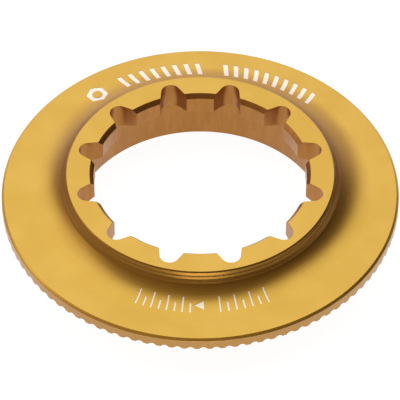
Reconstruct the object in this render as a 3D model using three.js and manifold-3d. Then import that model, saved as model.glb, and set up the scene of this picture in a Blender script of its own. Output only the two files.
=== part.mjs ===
// Splined lock ring that holds a disc-brake rotor on a bicycle hub: one turned ring with a flat flange,
// a raised collar with twelve tool notches, and a threaded barrel below.
// Millimetres. The axis is +Z and the origin is on it at the barrel's end face; the tool goes in from +Z.

import * as THREE from 'three';
import { ParametricGeometry } from 'three/addons/geometries/ParametricGeometry.js';
import { mergeGeometries, mergeVertices } from 'three/addons/utils/BufferGeometryUtils.js';
import Module from 'manifold-3d';

const DEGREE = Math.PI / 180;

// Flange: a flat disc whose underside presses on the rotor
const FLANGE_RADIUS = 19.25;
const FLANGE_TOP = 5.0;
const FLANGE_THICKNESS = 1.33;
const RIM_CHAMFER = 0.22;

// Collar: its wall tapers out in two bands to its foot
const COLLAR_TOP = 7.45;
const COLLAR_RADIUS = 13.02;
const COLLAR_CHAMFER = 0.12;
const BAND_RADIUS = 13.1;
const BAND_BOTTOM = 7.05;
const LOWER_BAND_RADIUS = 13.24;
const LOWER_BAND_BOTTOM = 6.72;

// Hollow blend from the flat of the flange in and up to the collar's foot, given by the radius, the slope
// and the reach of the tangent at both ends
const BLEND_RADIUS = 16.7;
const BLEND_SLOPE = 2.5 * DEGREE;
const BLEND_REACH = 1.9;
const FOOT_RADIUS = 13.46;
const FOOT_TOP = 6.32;
const FOOT_SLOPE = 44 * DEGREE;
const FOOT_REACH = 0.5;

// Tool spline: twelve round-bottomed notches between narrow lands
const NOTCH_COUNT = 12;
const NOTCH_PHASE = 15 * DEGREE;
const NOTCH_ROOT_RADIUS = 12.13;
const NOTCH_ARC_RADIUS = 0.93;
const NOTCH_FLANK_ANGLE = 20 * DEGREE;
const LAND_RADIUS = 10.27;
const LAND_CHAMFER = 0.41;
const LAND_BOTTOM = 5.35;

// Relief bore below the spline
const RELIEF_RADIUS = 12.4;
const RELIEF_TOP = 4.55;
const RELIEF_END_CHAMFER = 0.2;

// Serrations: round-bottomed radial grooves under the flange's outer band
const SERRATION_COUNT = 100;
const SERRATION_PHASE = 0.9 * DEGREE;
const SERRATION_INNER_RADIUS = 16.6;
const SERRATION_ARC_RADIUS = 0.372;
const SERRATION_DEPTH = 0.245;

// Thread: right-hand, 24 turns to the inch, 60 degree flanks
const THREAD_RADIUS = 15.3;
const THREAD_PITCH = 25.4 / 24;
const THREAD_DEPTH = 0.6134 * THREAD_PITCH;
const THREAD_CREST = THREAD_PITCH / 8;
const THREAD_FLANK_ANGLE = 30 * DEGREE;
const THREAD_TOP = 2.95;
const BARREL_END_RADIUS = 14.4;
const THREAD_RELIEF_RADIUS = 14.4;

// Worked out from the above
const FLANGE_BOTTOM = FLANGE_TOP - FLANGE_THICKNESS;
const CORE_RADIUS = THREAD_RADIUS - THREAD_DEPTH;

// Facets
const TURNED_SEGMENTS = 100;
const BLEND_SEGMENTS = 7;
const NOTCH_ARC_SEGMENTS = 8;
const GROOVE_SEGMENTS = 8;

// A cutter reaches this far past the faces that it cuts
const OVERCUT = 0.5;

const wasm = await Module();
wasm.setup();

// The triangles of a geometry whose three corners are all different after its vertices are merged
function closedTriangles(geometry) {
  const kept = [];
  const index = geometry.index.array;
  for (let i = 0; i < index.length; i += 3) {
    const [a, b, c] = index.slice(i, i + 3);
    if (a !== b && b !== c && c !== a) {
      kept.push(a, b, c);
    }
  }
  return Uint32Array.from(kept);
}

function solidOf(geometry) {
  const bare = geometry.clone();
  bare.deleteAttribute('normal');
  bare.deleteAttribute('uv');
  const merged = mergeVertices(bare, 1e-5);
  return new wasm.Manifold(new wasm.Mesh({
    numProp: 3,
    vertProperties: Float32Array.from(merged.attributes.position.array),
    triVerts: closedTriangles(merged),
  }));
}

function geometryOf(solid) {
  const { vertProperties, triVerts } = solid.getMesh();
  const geometry = new THREE.BufferGeometry();
  geometry.setAttribute('position', new THREE.BufferAttribute(vertProperties, 3));
  geometry.setIndex(new THREE.BufferAttribute(triVerts, 1));
  geometry.computeVertexNormals();
  return geometry;
}

// Surface turned about +Z from a profile of [radius, height] points, counter-clockwise, with its seam on +X
function turnedSurface(profile) {
  const points = profile.map(([radius, height]) => new THREE.Vector2(radius, height));
  return new THREE.LatheGeometry(points, TURNED_SEGMENTS, Math.PI / 2).rotateX(Math.PI / 2);
}

// The body with one cutter's copies, spaced evenly about +Z, taken away
function cutAround(body, cutter, count, phase) {
  let result = body;
  for (let i = 0; i < count; i += 1) {
    const turned = cutter.clone().rotateZ(phase + (i * 2 * Math.PI) / count);
    result = result.subtract(solidOf(turned));
  }
  return result;
}

// Hollow curve from the flat of the flange in and up to the collar's foot
function footBlend() {
  const rising = (slope) => new THREE.Vector2(-Math.cos(slope), Math.sin(slope));
  const flat = new THREE.Vector2(BLEND_RADIUS, FLANGE_TOP);
  const foot = new THREE.Vector2(FOOT_RADIUS, FOOT_TOP);
  const curve = new THREE.CubicBezierCurve(
    flat,
    flat.clone().addScaledVector(rising(BLEND_SLOPE), BLEND_REACH),
    foot.clone().addScaledVector(rising(FOOT_SLOPE), -FOOT_REACH),
    foot,
  );
  return curve.getPoints(BLEND_SEGMENTS).map((point) => point.toArray());
}

// Up the outside from the thread's top to the collar's top face
function outerProfile() {
  const threadRelief = CORE_RADIUS - THREAD_RELIEF_RADIUS;
  return [
    [CORE_RADIUS, THREAD_TOP],
    [THREAD_RELIEF_RADIUS, THREAD_TOP + threadRelief],
    [THREAD_RELIEF_RADIUS, FLANGE_BOTTOM],
    [FLANGE_RADIUS, FLANGE_BOTTOM],
    [FLANGE_RADIUS, FLANGE_TOP - RIM_CHAMFER],
    [FLANGE_RADIUS - RIM_CHAMFER, FLANGE_TOP],
    ...footBlend(),
    [LOWER_BAND_RADIUS, LOWER_BAND_BOTTOM],
    [BAND_RADIUS, BAND_BOTTOM],
    [COLLAR_RADIUS, COLLAR_TOP - COLLAR_CHAMFER],
    [COLLAR_RADIUS - COLLAR_CHAMFER, COLLAR_TOP],
  ];
}

// Down the inside from the collar's top face to the barrel's end face
function boreProfile() {
  return [
    [LAND_RADIUS + LAND_CHAMFER, COLLAR_TOP],
    [LAND_RADIUS, COLLAR_TOP - LAND_CHAMFER],
    [LAND_RADIUS, LAND_BOTTOM],
    [RELIEF_RADIUS, RELIEF_TOP],
    [RELIEF_RADIUS, RELIEF_END_CHAMFER],
    [RELIEF_RADIUS + RELIEF_END_CHAMFER, 0],
    [BARREL_END_RADIUS, 0],
  ];
}

// Prism of one notch on +X: a round root, and flanks that open out towards the axis
function notchCutter() {
  const centre = NOTCH_ROOT_RADIUS - NOTCH_ARC_RADIUS;
  const arcEnd = Math.PI / 2 - NOTCH_FLANK_ANGLE;
  const arcEndX = centre + NOTCH_ARC_RADIUS * Math.cos(arcEnd);
  const arcEndY = NOTCH_ARC_RADIUS * Math.sin(arcEnd);
  const mouthX = LAND_RADIUS * Math.cos(Math.PI / NOTCH_COUNT) - OVERCUT;
  const mouthY = arcEndY + (arcEndX - mouthX) * Math.tan(NOTCH_FLANK_ANGLE);
  const outline = new THREE.Shape();
  outline.moveTo(mouthX, mouthY);
  outline.lineTo(mouthX, -mouthY);
  outline.absarc(centre, 0, NOTCH_ARC_RADIUS, -arcEnd, arcEnd, false);
  const bottom = RELIEF_TOP - OVERCUT;
  return new THREE.ExtrudeGeometry(outline, {
    depth: COLLAR_TOP + OVERCUT - bottom,
    bevelEnabled: false,
    curveSegments: NOTCH_ARC_SEGMENTS,
  }).translate(0, 0, bottom);
}

// Round bar lying along +X that leaves one radial groove in the flange's underside
function serrationCutter() {
  const length = FLANGE_RADIUS + OVERCUT - SERRATION_INNER_RADIUS;
  const height = FLANGE_BOTTOM + SERRATION_DEPTH - SERRATION_ARC_RADIUS;
  return new THREE.CylinderGeometry(SERRATION_ARC_RADIUS, SERRATION_ARC_RADIUS, length, GROOVE_SEGMENTS)
    .rotateZ(-Math.PI / 2)
    .translate(SERRATION_INNER_RADIUS + length / 2, 0, height);
}

// One pitch of the thread's section, downwards: flank, crest, flank, root
function threadSection() {
  const halfCrest = THREAD_CREST / 2;
  const halfBase = halfCrest + THREAD_DEPTH * Math.tan(THREAD_FLANK_ANGLE);
  return [
    [CORE_RADIUS, 0],
    [THREAD_RADIUS, halfCrest - halfBase],
    [THREAD_RADIUS, -halfCrest - halfBase],
    [CORE_RADIUS, -2 * halfBase],
    [CORE_RADIUS, -THREAD_PITCH],
  ];
}

// The thread's surface, from the barrel's end face up to the thread's top: each turn of the section starts
// where the turn below ends, and a 45 degree chamfer runs it out at both ends. It closes the turned surface.
function threadSurface() {
  const section = threadSection();
  const turns = Math.ceil((THREAD_TOP / THREAD_PITCH + 1) * TURNED_SEGMENTS) / TURNED_SEGMENTS;
  const surface = (across, along, target) => {
    const [radius, height] = section[Math.round(across * (section.length - 1))];
    const angle = along * turns * 2 * Math.PI;
    const z = THREE.MathUtils.clamp(along * turns * THREAD_PITCH + height, 0, THREAD_TOP);
    const r = Math.min(radius, BARREL_END_RADIUS + z, CORE_RADIUS + THREAD_TOP - z);
    target.set(r * Math.cos(angle), r * Math.sin(angle), z);
  };
  return new ParametricGeometry(surface, section.length - 1, turns * TURNED_SEGMENTS);
}

function lockRing() {
  const turned = turnedSurface([...outerProfile(), ...boreProfile()]);
  let body = solidOf(mergeGeometries([turned, threadSurface()]));
  body = cutAround(body, notchCutter(), NOTCH_COUNT, NOTCH_PHASE);
  body = cutAround(body, serrationCutter(), SERRATION_COUNT, SERRATION_PHASE);
  const goldAnodised = new THREE.MeshStandardMaterial({ color: 0xd9a544, roughness: 0.35, metalness: 1.0 });
  const mesh = new THREE.Mesh(geometryOf(body), goldAnodised);
  mesh.name = 'lock_ring';
  return mesh;
}

const part = new THREE.Group();
part.add(lockRing());

export default part;
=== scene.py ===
import math

import bmesh
import bpy
import numpy as np
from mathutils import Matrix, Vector


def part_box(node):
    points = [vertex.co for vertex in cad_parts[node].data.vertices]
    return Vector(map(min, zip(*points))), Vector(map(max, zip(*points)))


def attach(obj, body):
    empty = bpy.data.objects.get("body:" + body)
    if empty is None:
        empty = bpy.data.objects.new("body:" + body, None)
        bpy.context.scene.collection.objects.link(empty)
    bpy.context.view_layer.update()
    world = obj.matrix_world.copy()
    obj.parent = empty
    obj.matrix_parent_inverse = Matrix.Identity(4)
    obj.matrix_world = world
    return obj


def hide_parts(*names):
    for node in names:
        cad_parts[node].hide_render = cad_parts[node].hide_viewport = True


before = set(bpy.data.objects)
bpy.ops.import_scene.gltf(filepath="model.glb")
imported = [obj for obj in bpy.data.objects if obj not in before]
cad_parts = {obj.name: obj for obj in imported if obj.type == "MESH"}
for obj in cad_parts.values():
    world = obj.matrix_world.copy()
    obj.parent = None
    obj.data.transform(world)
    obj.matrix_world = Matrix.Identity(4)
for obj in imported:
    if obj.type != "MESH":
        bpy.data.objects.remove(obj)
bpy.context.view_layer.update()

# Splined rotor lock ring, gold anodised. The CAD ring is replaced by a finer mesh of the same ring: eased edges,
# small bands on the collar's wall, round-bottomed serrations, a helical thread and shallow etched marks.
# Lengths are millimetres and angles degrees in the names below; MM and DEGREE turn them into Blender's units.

MM = 0.001
DEGREE = math.pi / 180

ring_low, ring_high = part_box("lock_ring")

# Flange
FLANGE_RADIUS = ring_high.x / MM
FLANGE_TOP = 5.0
FLANGE_THICKNESS = 1.33
FLANGE_BOTTOM = FLANGE_TOP - FLANGE_THICKNESS
RIM_CHAMFER = 0.22

# Collar: its wall tapers out to its foot in two shallow bands with small steps, given as radius and height
COLLAR_TOP = ring_high.z / MM
COLLAR_RADIUS = 13.02
COLLAR_CHAMFER = 0.12
COLLAR_BANDS = ((13.1, 7.05), (13.17, 6.93), (13.24, 6.72), (13.42, 6.42))
BAND_EDGE = 0.02

# Hollow blend from the flat of the flange in and up to the collar's foot. Each end has a radius, a slope and the
# reach of its tangent.
BLEND_RADIUS = 16.7
BLEND_SLOPE = 2.5
BLEND_REACH = 1.9
FOOT_RADIUS = 13.46
FOOT_TOP = 6.32
FOOT_SLOPE = 44.0
FOOT_REACH = 0.5
BLEND_STEPS = 18

# Tool spline: twelve round-bottomed notches between lands
NOTCH_COUNT = 12
NOTCH_PHASE = 15.0
NOTCH_ROOT_RADIUS = 12.13
NOTCH_ARC_RADIUS = 0.93
NOTCH_FLANK_ANGLE = 20.0
NOTCH_EDGE = 0.025
LAND_RADIUS = 10.27
LAND_CHAMFER = 0.41
LAND_BOTTOM = 5.35
LAND_CORNER = 0.03
SHOULDER_STEPS = 5

# Bore below the spline
RELIEF_RADIUS = 12.4
RELIEF_TOP = 4.55
RELIEF_END_CHAMFER = 0.2

# Serrations under the flange
SERRATION_COUNT = 100
SERRATION_PHASE = 0.9
SERRATION_INNER_RADIUS = 16.6
SERRATION_RUNOUT = 0.3
SERRATION_DEPTH = 0.26
SERRATION_HALF_WIDTH = 1.2

# Thread on the barrel: right-hand, 24 turns to the inch
THREAD_RADIUS = 15.3
THREAD_PITCH = 25.4 / 24
THREAD_DEPTH = 0.6134 * THREAD_PITCH
THREAD_CREST = THREAD_PITCH / 8
THREAD_FLANK_ANGLE = 30.0
THREAD_TOP = 2.95
THREAD_EDGE = 0.04
CORE_RADIUS = THREAD_RADIUS - THREAD_DEPTH
BARREL_END_RADIUS = 14.4
THREAD_RELIEF_RADIUS = 14.4

# Every machined edge is eased by this much. ROUND_MIDDLE places the middle point of a right-angled edge, so that it
# turns in three equal steps.
EDGE = 0.035
ROUND_MIDDLE = 0.366
SHARP_ANGLE = 40.0

# Columns of the mesh round the ring: nine to a serration and seventy-five to a notch
COLUMNS = 900
COLUMN_PHASE = 0.1
LAND_COLUMNS = 15
NOTCH_COLUMNS = 43

# Etched marks on the flange: bold slanted bars and a plain nut sign at the back, fine ticks and an arrow in front
ETCH_DEPTH = 0.025
BAR_INNER, BAR_OUTER, BAR_WIDTH, BAR_SLANT = 15.6, 17.3, 0.46, 1.3
BAR_GROUPS = ((117.5, 90.5, 8), (81.0, 48.5, 10))
NUT_ANGLE, NUT_RADIUS, NUT_HOLE, NUT_CENTRE = 128.5, 1.1, 0.52, 16.45
TICK_INNER, TICK_OUTER, TICK_WIDTH, TICK_SHORT = 14.45, 15.95, 0.15, 0.55
TICK_GROUPS = ((247.5, 266.5, 8), (277.0, 294.0, 7))
ARROW_ANGLE, ARROW_HALF_WIDTH, ARROW_LENGTH = 271.3, 0.42, 0.85

# Camera: the ring seen from the front and above
CAMERA_ELEVATION = 46.88
CAMERA_DISTANCE = 17 * FLANGE_RADIUS
CAMERA_LENS = 303.9
AIM_SHIFT = Vector((-0.024, -0.778, -0.729))
CLIP_START, CLIP_END = 10.0, 10000.0

# Stage: the floor glows round the ring and is dimmer farther out. A bright soft-edged card lies on it in front of
# the ring, outside the picture, and lights the front of the collar's wall. Each edge of the card is given by where
# it starts and ends.
FLOOR_RADIUS = 900.0
FLOOR_DROP = 0.02
GLOW_NEAR, GLOW_FAR = 0.95, 0.3
NEAR_REACH, FAR_REACH = 39.0, 90.0
CARD_GLOW = 4.6
CARD_SIDE = (7.7, 14.3)
CARD_NEAR = (-36.0, -34.0)
CARD_FAR = (-72.0, -56.0)

# Room light: one big soft panel overhead in a dim warm room that is brighter on the left and at the back. The
# panel's soft edges, and the edge of the brighter back, are given by where they start and end along the y, x and
# height of the direction to them. The panel's low edge leans.
PANEL_FRONT = (-0.19, -0.01)
PANEL_RIGHT = (0.50, 0.78)
PANEL_LOW = (0.435, 0.61)
PANEL_LEAN = -0.23
ROOM_BRIGHT = 1.515
ROOM_DIM = 0.265
ROOM_SLOPE = -0.175
ROOM_BACK = 0.7
BACK_EDGE = (0.6, 0.93)
PANEL_WHITE = (1, 1, 1, 1)
ROOM_WARM = (1, 0.78, 0.56, 1)
ROOM_BACK_TINT = (1, 0.87, 1.08, 1)

COLUMN_ANGLES = (np.arange(COLUMNS) * 360 / COLUMNS + COLUMN_PHASE) * DEGREE


# Shape

def polar(radius, angle, height):
    """Points from radius, angle in radians and height, each a number or an array."""
    radius, angle, height = np.broadcast_arrays(radius, angle, height)
    return np.column_stack((radius * np.cos(angle), radius * np.sin(angle), height))


def turned_loop(radius, height):
    return polar(radius, COLUMN_ANGLES, height)


def eased(profile, edge=EDGE, least_turn=25.0):
    """The profile with every corner that turns by more than `least_turn` degrees rounded off by one or two facets."""
    points = [np.array(p, float) for p in profile]
    out = [points[0]]
    for before, corner, after in zip(points, points[1:], points[2:]):
        back, on = before - corner, after - corner
        back_length, on_length = np.linalg.norm(back), np.linalg.norm(on)
        turn = 180 - math.degrees(math.acos(np.clip(back @ on / (back_length * on_length), -1, 1)))
        if turn < least_turn:
            out.append(corner)
            continue
        cut = min(edge, 0.4 * back_length, 0.4 * on_length)
        first, last = back * cut / back_length, on * cut / on_length
        middle = [corner + ROUND_MIDDLE * (first + last)] if turn > 60 else []
        out += [corner + first, *middle, corner + last]
    return out + [points[-1]]


def foot_blend(steps):
    """Hollow curve from the flat of the flange in and up to the collar's foot."""
    def rising(slope):
        return np.array((-math.cos(slope * DEGREE), math.sin(slope * DEGREE)))

    flat = np.array((BLEND_RADIUS, FLANGE_TOP))
    flat_tangent = flat + BLEND_REACH * rising(BLEND_SLOPE)
    foot = np.array((FOOT_RADIUS, FOOT_TOP))
    foot_tangent = foot - FOOT_REACH * rising(FOOT_SLOPE)
    u = np.linspace(0, 1, steps + 1)[:, None]
    return ((1 - u) ** 3 * flat + 3 * u * (1 - u) ** 2 * flat_tangent
            + 3 * u ** 2 * (1 - u) * foot_tangent + u ** 3 * foot)


def outer_profile():
    """From the rim's chamfer over the flange and up the collar to its top face, with its edges eased."""
    rim = eased([
        (FLANGE_RADIUS, FLANGE_TOP - RIM_CHAMFER - 2 * EDGE),
        (FLANGE_RADIUS, FLANGE_TOP - RIM_CHAMFER),
        (FLANGE_RADIUS - RIM_CHAMFER, FLANGE_TOP),
        (BLEND_RADIUS, FLANGE_TOP),
    ])
    wall = eased([
        (FOOT_RADIUS, FOOT_TOP),
        *reversed(COLLAR_BANDS),
        (COLLAR_RADIUS, COLLAR_TOP - COLLAR_CHAMFER),
        (COLLAR_RADIUS - COLLAR_CHAMFER, COLLAR_TOP),
        (COLLAR_RADIUS - 3 * COLLAR_CHAMFER, COLLAR_TOP),
    ], BAND_EDGE, 8.0)
    return [*rim[:-1], *foot_blend(BLEND_STEPS), *wall[1:]]


def half_notch(offset):
    """Half of a notch on +X as a fine run of points from inside its mouth, along the flank, to the root."""
    centre = NOTCH_ROOT_RADIUS - NOTCH_ARC_RADIUS
    radius = NOTCH_ARC_RADIUS + offset
    arc = np.linspace(90 - NOTCH_FLANK_ANGLE, 0, 61) * DEGREE
    x, y = centre + radius * np.cos(arc), radius * np.sin(arc)
    mouth_x = 0.9 * LAND_RADIUS
    mouth_y = y[0] + (x[0] - mouth_x) * math.tan(NOTCH_FLANK_ANGLE * DEGREE)
    return np.column_stack((np.append(mouth_x, x), np.append(mouth_y, y)))


def spline_loop(land_radius, height, offset=0.0):
    """The bore's outline at one height: arcs of `land_radius`, and notches that are `offset` wider all round.
    The corner between land and notch is cut back by LAND_CORNER."""
    half_sector = 180 / NOTCH_COUNT * DEGREE
    if land_radius >= NOTCH_ROOT_RADIUS + offset:
        return turned_loop(land_radius, height)
    half = half_notch(offset)
    lengths = np.append(0, np.cumsum(np.hypot(*np.diff(half, axis=0).T)))
    radii = np.hypot(*half.T)
    start = np.interp(land_radius, radii, lengths)
    corner = min(LAND_CORNER, 0.2 * (lengths[-1] - start))
    side = np.linspace(-1, 1, NOTCH_COLUMNS + 1)
    along = lengths[-1] - np.abs(side) * (lengths[-1] - start - corner)
    x = np.interp(along, lengths, half[:, 0])
    y = np.interp(along, lengths, half[:, 1]) * np.sign(side)
    mouth = math.atan2(np.interp(start, lengths, half[:, 1]), np.interp(start, lengths, half[:, 0]))
    land = np.linspace(-half_sector, -mouth - corner / land_radius, LAND_COLUMNS + 1)
    radius = np.concatenate((np.full(LAND_COLUMNS + 1, land_radius), np.hypot(x, y),
                             np.full(LAND_COLUMNS, land_radius)))
    angle = np.concatenate((land, np.arctan2(y, x), -land[:0:-1]))
    centres = (NOTCH_PHASE + 360 / NOTCH_COUNT * np.arange(NOTCH_COUNT)) * DEGREE
    return polar(np.tile(radius, NOTCH_COUNT), (centres[:, None] + angle).ravel(), height)


def spline_loops():
    """From the collar's top face down through the spline to the bore below it."""
    chamfer_bottom = COLLAR_TOP - LAND_CHAMFER
    mouth = LAND_RADIUS + LAND_CHAMFER
    slope = (LAND_BOTTOM - RELIEF_TOP) / (RELIEF_RADIUS - LAND_RADIUS)
    middle = ROUND_MIDDLE * NOTCH_EDGE
    loops = [
        spline_loop(mouth + EDGE, COLLAR_TOP, NOTCH_EDGE),
        spline_loop(mouth - middle, COLLAR_TOP - middle, middle),
        spline_loop(mouth - NOTCH_EDGE, COLLAR_TOP - NOTCH_EDGE),
        spline_loop(LAND_RADIUS + EDGE, chamfer_bottom + EDGE),
        spline_loop(LAND_RADIUS, chamfer_bottom - EDGE),
        spline_loop(LAND_RADIUS, LAND_BOTTOM + EDGE),
    ]
    for radius in np.linspace(LAND_RADIUS + EDGE, NOTCH_ROOT_RADIUS, SHOULDER_STEPS + 1):
        loops.append(spline_loop(radius, LAND_BOTTOM - (radius - LAND_RADIUS) * slope))
    return loops


def serration_depth():
    """Depth of the serrations at each column, round-bottomed between flat crests."""
    pitch = 360 / SERRATION_COUNT
    from_valley = (COLUMN_ANGLES / DEGREE - SERRATION_PHASE + pitch / 2) % pitch - pitch / 2
    return SERRATION_DEPTH * np.clip(1 - (from_valley / SERRATION_HALF_WIDTH) ** 2, 0, None)


def underside_loops():
    """From the top of the thread out under the flange, over the serrations, to the rim."""
    depth = serration_depth()
    corner = SERRATION_INNER_RADIUS
    relief_top = THREAD_TOP + CORE_RADIUS - THREAD_RELIEF_RADIUS
    inner = eased([
        (CORE_RADIUS, THREAD_TOP),
        (THREAD_RELIEF_RADIUS, relief_top),
        (THREAD_RELIEF_RADIUS, FLANGE_BOTTOM),
        (corner - EDGE, FLANGE_BOTTOM),
    ], 3 * EDGE)
    loops = [turned_loop(radius, height) for radius, height in inner]
    loops += [
        turned_loop(corner, FLANGE_BOTTOM),
        turned_loop(corner + SERRATION_RUNOUT / 2, FLANGE_BOTTOM + 0.7 * depth),
        turned_loop(corner + SERRATION_RUNOUT, FLANGE_BOTTOM + depth),
        turned_loop(FLANGE_RADIUS - EDGE, FLANGE_BOTTOM + depth),
        turned_loop(FLANGE_RADIUS, FLANGE_BOTTOM + depth + EDGE),
    ]
    return loops


def bore_loops():
    """From the spline's foot down the bore to the barrel's end face."""
    profile = eased([
        (NOTCH_ROOT_RADIUS + EDGE, RELIEF_TOP + EDGE),
        (RELIEF_RADIUS, RELIEF_TOP),
        (RELIEF_RADIUS, RELIEF_END_CHAMFER),
        (RELIEF_RADIUS + RELIEF_END_CHAMFER, 0),
        (BARREL_END_RADIUS, 0),
    ])
    return [turned_loop(radius, height) for radius, height in profile]


def thread_section():
    """One pitch of the thread, downwards: flank, crest, flank, root."""
    half_crest = THREAD_CREST / 2
    half_base = half_crest + THREAD_DEPTH * math.tan(THREAD_FLANK_ANGLE * DEGREE)
    middle = (CORE_RADIUS + THREAD_RADIUS) / 2
    rise = (half_base - half_crest) / 2
    return np.array(eased([
        (CORE_RADIUS, 0),
        (middle, -rise),
        (THREAD_RADIUS, half_crest - half_base),
        (THREAD_RADIUS, -half_crest - half_base),
        (middle, rise - 2 * half_base),
        (CORE_RADIUS, -2 * half_base),
        (CORE_RADIUS, -THREAD_PITCH),
    ], THREAD_EDGE, 40.0))


def thread_strip():
    """The thread's surface as rows of points: the section climbs one pitch a turn, each turn starting where the
    turn below ends, and 45 degree chamfers run it out at both ends."""
    section = thread_section()
    steps = math.ceil((THREAD_TOP / THREAD_PITCH + 1) * COLUMNS)
    turn = np.arange(steps + 1)[:, None] / COLUMNS
    height = np.clip(turn * THREAD_PITCH + section[:, 1], 0, THREAD_TOP)
    radius = np.minimum(section[:, 0], BARREL_END_RADIUS + height)
    radius = np.minimum(radius, CORE_RADIUS + THREAD_TOP - height)
    angle = COLUMN_ANGLES[0] + turn * 2 * math.pi
    return [polar(radius[:, i], angle[:, 0], height[:, i]) for i in range(len(section))]


def add_rows(bm, rows, closed):
    """Quads between neighbouring rows of points, in millimetres, round the whole ring or along an open strip."""
    vertices = [[bm.verts.new(point * MM) for point in row] for row in rows]
    for low, high in zip(vertices, vertices[1:]):
        ends = range(len(low)) if closed else range(len(low) - 1)
        for i in ends:
            j = (i + 1) % len(low)
            bm.faces.new((low[i], low[j], high[j], high[i]))


def ring_mesh():
    bm = bmesh.new()
    rows = underside_loops()
    rows += [turned_loop(radius, height) for radius, height in outer_profile()]
    rows += spline_loops() + bore_loops()
    add_rows(bm, rows, closed=True)
    add_rows(bm, thread_strip(), closed=False)
    bmesh.ops.remove_doubles(bm, verts=bm.verts, dist=1e-4 * MM)
    bmesh.ops.dissolve_degenerate(bm, dist=1e-4 * MM, edges=bm.edges)
    bmesh.ops.recalc_face_normals(bm, faces=bm.faces)
    mesh = bpy.data.meshes.new("lock_ring_fine")
    bm.to_mesh(mesh)
    bm.free()
    return mesh


# Etched marks

def surface_height(radius):
    """Height of the flange's top face, and of the blend inside it."""
    blend = foot_blend(100)[::-1]
    return np.interp(radius, blend[:, 0], blend[:, 1])


def add_cutter(bm, left, right, across=1):
    """A closed prism between two rows of flat points, from just under the surface to well above it. It is divided
    `across` times from side to side, so that its underside follows the surface."""
    layers = []
    for drop in (ETCH_DEPTH, -1.0):
        rows = []
        for share in np.linspace(0, 1, across + 1):
            flat = left + share * (right - left)
            heights = surface_height(np.hypot(*flat.T)) - drop
            rows.append([bm.verts.new(Vector((x, y, z)) * MM) for (x, y), z in zip(flat, heights)])
        layers.append(rows)
    low, high = layers
    last = len(left) - 1
    for i in range(last):
        for k in range(across):
            for rows in layers:
                bm.faces.new((rows[k][i], rows[k][i + 1], rows[k + 1][i + 1], rows[k + 1][i]))
        for k in (0, across):
            bm.faces.new((low[k][i], low[k][i + 1], high[k][i + 1], high[k][i]))
    if not np.allclose(left[0], left[-1]):
        for i in (0, last):
            for k in range(across):
                bm.faces.new((low[k][i], low[k + 1][i], high[k + 1][i], high[k][i]))


def add_bar(bm, angle, inner, outer, width, slant=0.0):
    """A radial bar, `width` wide, whose outer end leans over by `slant` degrees."""
    radius = np.linspace(inner, outer, 15)
    lean = (angle + slant * ((radius - inner) / (outer - inner) - 0.5)) * DEGREE
    half = width / 2 / radius
    left = np.column_stack((radius * np.cos(lean + half), radius * np.sin(lean + half)))
    right = np.column_stack((radius * np.cos(lean - half), radius * np.sin(lean - half)))
    add_cutter(bm, left, right)


def add_nut_sign(bm):
    """A hexagon with a round hole."""
    around = np.linspace(0, 360, 49)
    to_side = (around % 60 - 30) * DEGREE
    outer = NUT_RADIUS * math.cos(30 * DEGREE) / np.cos(to_side)
    turn = (around + NUT_ANGLE) * DEGREE
    centre = NUT_CENTRE * np.array((math.cos(NUT_ANGLE * DEGREE), math.sin(NUT_ANGLE * DEGREE)))
    direction = np.column_stack((np.cos(turn), np.sin(turn)))
    add_cutter(bm, centre + direction * outer[:, None], centre + direction * NUT_HOLE, 2)


def add_arrow(bm):
    """A small solid triangle that points the way the ring tightens."""
    middle = (TICK_INNER + TICK_OUTER) / 2
    along = np.linspace(0, 1, 5)
    half = ARROW_HALF_WIDTH * (1 - 0.94 * along)
    lean = (ARROW_ANGLE - along * ARROW_LENGTH / middle / DEGREE) * DEGREE
    rows = []
    for side in (half, -half):
        rows.append(np.column_stack(((middle + side) * np.cos(lean), (middle + side) * np.sin(lean))))
    add_cutter(bm, *rows, 4)


def marks_mesh():
    bm = bmesh.new()
    for first, last, count in BAR_GROUPS:
        for angle in np.linspace(first, last, count):
            add_bar(bm, angle, BAR_INNER, BAR_OUTER, BAR_WIDTH, BAR_SLANT)
    for first, last, count in TICK_GROUPS:
        for i, angle in enumerate(np.linspace(first, last, count)):
            add_bar(bm, angle, TICK_INNER + (i % 2) * TICK_SHORT, TICK_OUTER, TICK_WIDTH)
    add_nut_sign(bm)
    add_arrow(bm)
    bmesh.ops.remove_doubles(bm, verts=bm.verts, dist=1e-4 * MM)
    bmesh.ops.recalc_face_normals(bm, faces=bm.faces)
    mesh = bpy.data.meshes.new("marks")
    bm.to_mesh(mesh)
    bm.free()
    return mesh


def add_object(name, mesh):
    made = bpy.data.objects.new(name, mesh)
    bpy.context.scene.collection.objects.link(made)
    return made


def etch_marks(ring):
    """Cuts the marks into the ring and gives their floors the ring's second material."""
    cutter = add_object("marks_cutter", marks_mesh())
    cut = ring.modifiers.new("etch", "BOOLEAN")
    cut.operation, cut.solver, cut.object = "DIFFERENCE", "MANIFOLD", cutter
    bpy.context.view_layer.update()
    mesh = bpy.data.meshes.new_from_object(ring.evaluated_get(bpy.context.evaluated_depsgraph_get()))
    ring.modifiers.clear()
    ring.data = mesh
    bpy.data.objects.remove(cutter)
    for face in mesh.polygons:
        radius = math.hypot(face.center.x, face.center.y) / MM
        sunk = surface_height(np.array(radius)) - face.center.z / MM
        if TICK_INNER - 0.1 < radius < NUT_CENTRE + NUT_RADIUS and 0.6 * ETCH_DEPTH < sunk < 2 * ETCH_DEPTH:
            face.material_index = 1


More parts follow.
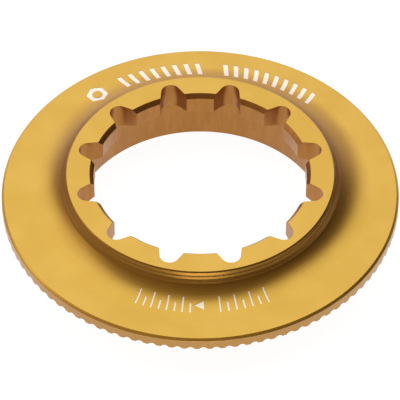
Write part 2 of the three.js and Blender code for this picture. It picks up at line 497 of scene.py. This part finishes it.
def weight_normals(mesh):
    """Gives each corner the area-weighted normal of the faces that it meets at less than SHARP_ANGLE, so that flat
    faces stay flat up to their eased edges."""
    corner_vertex = np.empty(len(mesh.loops), int)
    mesh.loops.foreach_get("vertex_index", corner_vertex)
    sizes = np.empty(len(mesh.polygons), int)
    mesh.polygons.foreach_get("loop_total", sizes)
    area = np.empty(len(sizes))
    mesh.polygons.foreach_get("area", area)
    normal = np.empty(3 * len(sizes))
    mesh.polygons.foreach_get("normal", normal)
    normal = normal.reshape(-1, 3)
    corner_face = np.repeat(np.arange(len(sizes)), sizes)
    order = np.argsort(corner_vertex, kind="stable")
    meeting = np.bincount(corner_vertex)
    first = np.cumsum(meeting) - meeting
    total = np.zeros((len(corner_vertex), 3))
    for step in range(meeting.max()):
        here = np.flatnonzero(meeting[corner_vertex] > step)
        other = corner_face[order[first[corner_vertex[here]] + step]]
        cosine = np.einsum("ij,ij->i", normal[other], normal[corner_face[here]])
        smooth = cosine > math.cos(SHARP_ANGLE * DEGREE)
        total[here] += (smooth * area[other])[:, None] * normal[other]
    length = np.linalg.norm(total, axis=1)[:, None]
    mesh.normals_split_custom_set(total / np.where(length > 0, length, 1))


def fine_ring():
    ring = add_object("lock_ring_fine", ring_mesh())
    ring.data.materials.append(gold_anodising())
    ring.data.materials.append(etched_aluminium())
    etch_marks(ring)
    ring.data.shade_smooth()
    ring.data.set_sharp_from_angle(angle=SHARP_ANGLE * DEGREE)
    weight_normals(ring.data)
    return ring


# Materials

class Nodes:
    """The node tree of a material or world, with short calls that add and link nodes."""

    def __init__(self, owner):
        self.tree = owner.node_tree
        self.surface = self.tree.nodes.get("Principled BSDF")

    def set(self, socket, value):
        if isinstance(value, bpy.types.NodeSocket):
            self.tree.links.new(value, socket)
        else:
            socket.default_value = value

    def add(self, kind, inputs=(), **settings):
        node = self.tree.nodes.new(kind)
        for name, value in settings.items():
            setattr(node, name, value)
        for key, value in dict(inputs).items():
            self.set(node.inputs[key], value)
        return node

    def math(self, operation, a, b=0.0):
        return self.add("ShaderNodeMath", {0: a, 1: b}, operation=operation).outputs[0]

    def noise(self, vector, scale, detail=2.0):
        inputs = {"Vector": vector, "Scale": scale, "Detail": detail}
        return self.add("ShaderNodeTexNoise", inputs).outputs["Fac"]

    def rings(self, coordinate, scale, detail=2.0):
        """Noise along one coordinate only, for the fine rings that turning leaves."""
        inputs = {"W": coordinate, "Scale": scale, "Detail": detail}
        return self.add("ShaderNodeTexNoise", inputs, noise_dimensions="1D").outputs["Fac"]

    def between(self, value, low, high, to_low=0.0, to_high=1.0):
        inputs = {"Value": value, "From Min": low, "From Max": high, "To Min": to_low, "To Max": to_high}
        return self.add("ShaderNodeMapRange", inputs, interpolation_type="SMOOTHSTEP").outputs["Result"]

    def mix(self, factor, a, b):
        node = self.add("ShaderNodeMix", {"Factor": factor}, data_type="RGBA")
        self.set(node.inputs[6], a)
        self.set(node.inputs[7], b)
        return node.outputs[2]

    def bump(self, height, depth, normal=None):
        """`depth` is the relief's height in millimetres."""
        node = self.add("ShaderNodeBump", {"Height": height, "Strength": 1.0, "Distance": depth * MM})
        if normal is not None:
            self.set(node.inputs["Normal"], normal)
        return node.outputs["Normal"]

    def millimetres(self):
        """The surface point in millimetres, its distance from the axis, and that distance plus its height."""
        point = self.add("ShaderNodeTexCoord").outputs["Object"]
        point = self.add("ShaderNodeVectorMath", {0: point, "Scale": 1 / MM}, operation="SCALE").outputs[0]
        parts = self.add("ShaderNodeSeparateXYZ", {0: point})
        flat = self.add("ShaderNodeVectorMath", {0: point, 1: (1, 1, 0)}, operation="MULTIPLY").outputs[0]
        radius = self.add("ShaderNodeVectorMath", {0: flat}, operation="LENGTH").outputs["Value"]
        return point, radius, self.math("ADD", radius, parts.outputs["Z"])

    def upward(self):
        """How far the surface faces up or down: 1 on a flat top, 0 on a wall, -1 underneath."""
        facing = self.add("ShaderNodeTexCoord").outputs["Normal"]
        return self.add("ShaderNodeSeparateXYZ", {0: facing}).outputs["Z"]

    def edges(self, radius):
        """1 where an edge lies within about `radius` millimetres, 0 away from edges."""
        rounded = self.add("ShaderNodeBevel", {"Radius": radius * MM}, samples=6).outputs["Normal"]
        plain = self.add("ShaderNodeNewGeometry").outputs["Normal"]
        same = self.add("ShaderNodeVectorMath", {0: rounded, 1: plain}, operation="DOT_PRODUCT").outputs["Value"]
        return self.between(same, 0.8, 0.995, 1.0, 0.0)


# Base colours of the gold: top faces, then copies painted lighter or darker for the light on the other faces
GOLD_TOP = (0.54, 0.325, 0.045, 1)
GOLD_TOP_PALE = (0.57, 0.35, 0.055, 1)
# Bore and other walls: darker and redder, as painted shade
GOLD_BORE_SHADED = (0.42, 0.175, 0.03, 1)
GOLD_WALL_SHADED = (0.36, 0.172, 0.017, 1)
# Rim's chamfer, paler as a painted highlight, and the rim's band, painted lighter as if lit by the floor
GOLD_CHAMFER_HIGHLIGHT = (0.74, 0.42, 0.05, 1)
GOLD_RIM_LIT = (0.455, 0.24, 0.062, 1)
# Deep tone: random grain and streaks, and painted shade in hollows
GOLD_DEEP_TONE_AND_SHADE = (0.28, 0.10, 0.01, 1)
# Pale metal of worn edges, also a painted highlight along edges
BARE_AND_HIGHLIGHT = (0.80, 0.70, 0.52, 1)
ROUGHNESS = (0.295, 0.395)
TURNED_ROUGHNESS = (-0.03, 0.03)

# The marks' bare metal, and the floor
ETCHED_DARK = (0.84, 0.74, 0.60, 1)
ETCHED_PALE = (0.95, 0.89, 0.78, 1)
ETCHED_ROUGHNESS = (0.4, 0.55)
FLOOR_DARK = (0.18, 0.18, 0.18, 1)
FLOOR_PALE = (0.2, 0.2, 0.2, 1)

# Radii at which the gold passes from the bore to the outer walls, on to the rim's chamfer and on to its band
BORE_TO_WALL = (12.5, 12.8)
WALL_TO_CHAMFER = (FLANGE_RADIUS - 1.2 * RIM_CHAMFER, FLANGE_RADIUS - 0.8 * RIM_CHAMFER)
CHAMFER_TO_RIM = (FLANGE_RADIUS - 0.04, FLANGE_RADIUS - 0.01)


def new_material(name):
    material = bpy.data.materials.new(name)
    material.use_nodes = True
    return material


def gold_anodising():
    """Satin gold: blasted grain, faint turning rings and cloudy dye; painted shade on walls, bore and hollows,
    a painted highlight on the rim's chamfer, faint streaks down the bore, and edges paler as wear and painted
    highlight."""
    material = new_material("gold_anodising")
    nodes = Nodes(material)
    point, radius, lathe = nodes.millimetres()
    clouds = nodes.noise(point, 0.22, 3.0)
    grain = nodes.noise(point, 16.0, 3.0)
    turning = nodes.rings(lathe, 14.0, 3.0)
    painted_hollow_shade = nodes.add("ShaderNodeAmbientOcclusion", {"Distance": 2.0 * MM}, samples=8).outputs["AO"]
    flat = nodes.between(nodes.math("ABSOLUTE", nodes.upward()), 0.7, 0.98)

    colour = nodes.mix(nodes.between(clouds, 0.35, 0.65), GOLD_TOP, GOLD_TOP_PALE)
    stretched = nodes.add("ShaderNodeVectorMath", {0: point, 1: (1, 1, 0.2)}, operation="MULTIPLY").outputs[0]
    streaks = nodes.between(nodes.noise(stretched, 2.0, 4.0), 0.35, 0.65, 0.0, 0.35)
    # Painted shade and light: by facing and radius, walls and bore take darker copies of the gold, the rim's chamfer
    # a paler one and its band a lit one
    chamfer = nodes.between(radius, *WALL_TO_CHAMFER)
    rim = nodes.between(radius, *CHAMFER_TO_RIM)
    wall = nodes.mix(rim, nodes.mix(chamfer, GOLD_WALL_SHADED, GOLD_CHAMFER_HIGHLIGHT), GOLD_RIM_LIT)
    wall = nodes.mix(nodes.between(radius, *BORE_TO_WALL), nodes.mix(streaks, GOLD_BORE_SHADED, GOLD_DEEP_TONE_AND_SHADE), wall)
    colour = nodes.mix(flat, wall, colour)
    # Painted shade: ambient occlusion darkens hollows, corners and the fillet
    colour = nodes.mix(nodes.between(painted_hollow_shade, 0.2, 0.8, 0.6, 0.0), colour, GOLD_DEEP_TONE_AND_SHADE)
    colour = nodes.mix(nodes.between(grain, 0.3, 0.75, 0.10, 0.0), colour, GOLD_DEEP_TONE_AND_SHADE)
    # Pale edges, partly wear and partly a painted highlight along the edges
    worn_edge_and_highlight = nodes.math("MULTIPLY", nodes.edges(0.05), nodes.between(grain, 0.35, 0.65, 0.0, 0.3))
    colour = nodes.mix(worn_edge_and_highlight, colour, BARE_AND_HIGHLIGHT)
    nodes.set(nodes.surface.inputs["Base Color"], colour)

    uneven = nodes.between(grain, 0.2, 0.8, *ROUGHNESS)
    rough = nodes.math("ADD", uneven, nodes.between(turning, 0.3, 0.7, *TURNED_ROUGHNESS))
    nodes.set(nodes.surface.inputs["Roughness"], rough)

    normal = nodes.bump(turning, 0.0012)
    normal = nodes.bump(grain, 0.0016, normal)
    nodes.set(nodes.surface.inputs["Normal"], normal)
    nodes.set(nodes.surface.inputs["Metallic"], 1.0)
    nodes.set(nodes.surface.inputs["Coat Weight"], 0.3)
    nodes.set(nodes.surface.inputs["Coat Roughness"], 0.35)
    nodes.set(nodes.surface.inputs["Coat IOR"], 1.6)
    return material


def etched_aluminium():
    """Bare metal that the laser has left: pale, matt and faintly hatched."""
    material = new_material("etched_aluminium")
    nodes = Nodes(material)
    point, _, _ = nodes.millimetres()
    speckle = nodes.noise(point, 22.0, 3.0)
    colour = nodes.mix(nodes.between(speckle, 0.3, 0.7), ETCHED_DARK, ETCHED_PALE)
    nodes.set(nodes.surface.inputs["Base Color"], colour)
    nodes.set(nodes.surface.inputs["Roughness"], nodes.between(speckle, 0.3, 0.7, *ETCHED_ROUGHNESS))
    nodes.set(nodes.surface.inputs["Normal"], nodes.bump(speckle, 0.002))
    nodes.set(nodes.surface.inputs["Metallic"], 0.8)
    return material


def pale_floor():
    """A plain pale floor that glows, so that the ring hardly throws a shadow on it."""
    material = new_material("pale_floor")
    nodes = Nodes(material)
    point, reach, _ = nodes.millimetres()
    x, y, _ = nodes.add("ShaderNodeSeparateXYZ", {0: point}).outputs
    tone = nodes.noise(point, 0.01, 2.0)
    nodes.set(nodes.surface.inputs["Base Color"], nodes.mix(tone, FLOOR_DARK, FLOOR_PALE))
    nodes.set(nodes.surface.inputs["Roughness"], 0.9)
    nodes.set(nodes.surface.inputs["Specular IOR Level"], 0.0)
    nodes.set(nodes.surface.inputs["Emission Color"], (1, 1, 1, 1))
    glow = nodes.between(reach, NEAR_REACH, FAR_REACH, GLOW_NEAR, GLOW_FAR)
    across = nodes.between(nodes.math("ABSOLUTE", x), *CARD_SIDE, 1.0, 0.0)
    along = nodes.math("MULTIPLY", nodes.between(y, *CARD_NEAR, 1.0, 0.0), nodes.between(y, *CARD_FAR))
    card = nodes.math("MULTIPLY", nodes.math("MULTIPLY", across, along), CARD_GLOW)
    nodes.set(nodes.surface.inputs["Emission Strength"], nodes.math("ADD", glow, card))
    return material


# Stage, lights and camera

def floor():
    bm = bmesh.new()
    bmesh.ops.create_circle(bm, cap_ends=True, segments=96, radius=FLOOR_RADIUS * MM)
    mesh = bpy.data.meshes.new("floor")
    bm.to_mesh(mesh)
    bm.free()
    made = add_object("floor", mesh)
    made.location.z = ring_low.z - FLOOR_DROP * MM
    made.data.materials.append(pale_floor())


def room():
    """A dim warm room, cooler at the back, with one big soft white panel overhead."""
    world = bpy.data.worlds.new("room")
    world.use_nodes = True
    nodes = Nodes(world)
    direction = nodes.add("ShaderNodeTexCoord").outputs["Generated"]
    x, y, z = nodes.add("ShaderNodeSeparateXYZ", {0: direction}).outputs
    height = nodes.math("ADD", z, nodes.math("MULTIPLY", x, PANEL_LEAN))
    lit = nodes.math("MULTIPLY", nodes.between(y, *PANEL_FRONT), nodes.between(height, *PANEL_LOW))
    lit = nodes.math("MULTIPLY", lit, nodes.between(x, *PANEL_RIGHT, 1.0, 0.0))
    back = nodes.between(y, *BACK_EDGE)
    dim = nodes.math("ADD", nodes.math("MULTIPLY", x, ROOM_SLOPE), ROOM_DIM)
    dim = nodes.math("ADD", dim, nodes.math("MULTIPLY", back, ROOM_BACK))
    strength = nodes.math("ADD", dim, nodes.math("MULTIPLY", lit, nodes.math("SUBTRACT", ROOM_BRIGHT, dim)))
    background = nodes.tree.nodes["Background"]
    shade = nodes.mix(back, ROOM_WARM, ROOM_BACK_TINT)
    nodes.set(background.inputs["Color"], nodes.mix(lit, shade, PANEL_WHITE))
    nodes.set(background.inputs["Strength"], strength)
    bpy.context.scene.world = world


def camera():
    data = bpy.data.cameras.new("camera")
    data.lens = CAMERA_LENS
    data.clip_start, data.clip_end = CLIP_START * MM, CLIP_END * MM
    made = bpy.data.objects.new("camera", data)
    centre = Vector((0, 0, FLANGE_TOP))
    elevation = CAMERA_ELEVATION * DEGREE
    place = centre + CAMERA_DISTANCE * Vector((0, -math.cos(elevation), math.sin(elevation)))
    made.location = place * MM
    made.rotation_euler = (centre + AIM_SHIFT - place).to_track_quat("-Z", "Y").to_euler()
    bpy.context.scene.collection.objects.link(made)
    bpy.context.scene.camera = made


camera()
floor()
room()
bpy.context.scene.view_settings.view_transform = "Standard"

lock_ring = fine_ring()
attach(lock_ring, "root")
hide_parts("lock_ring")
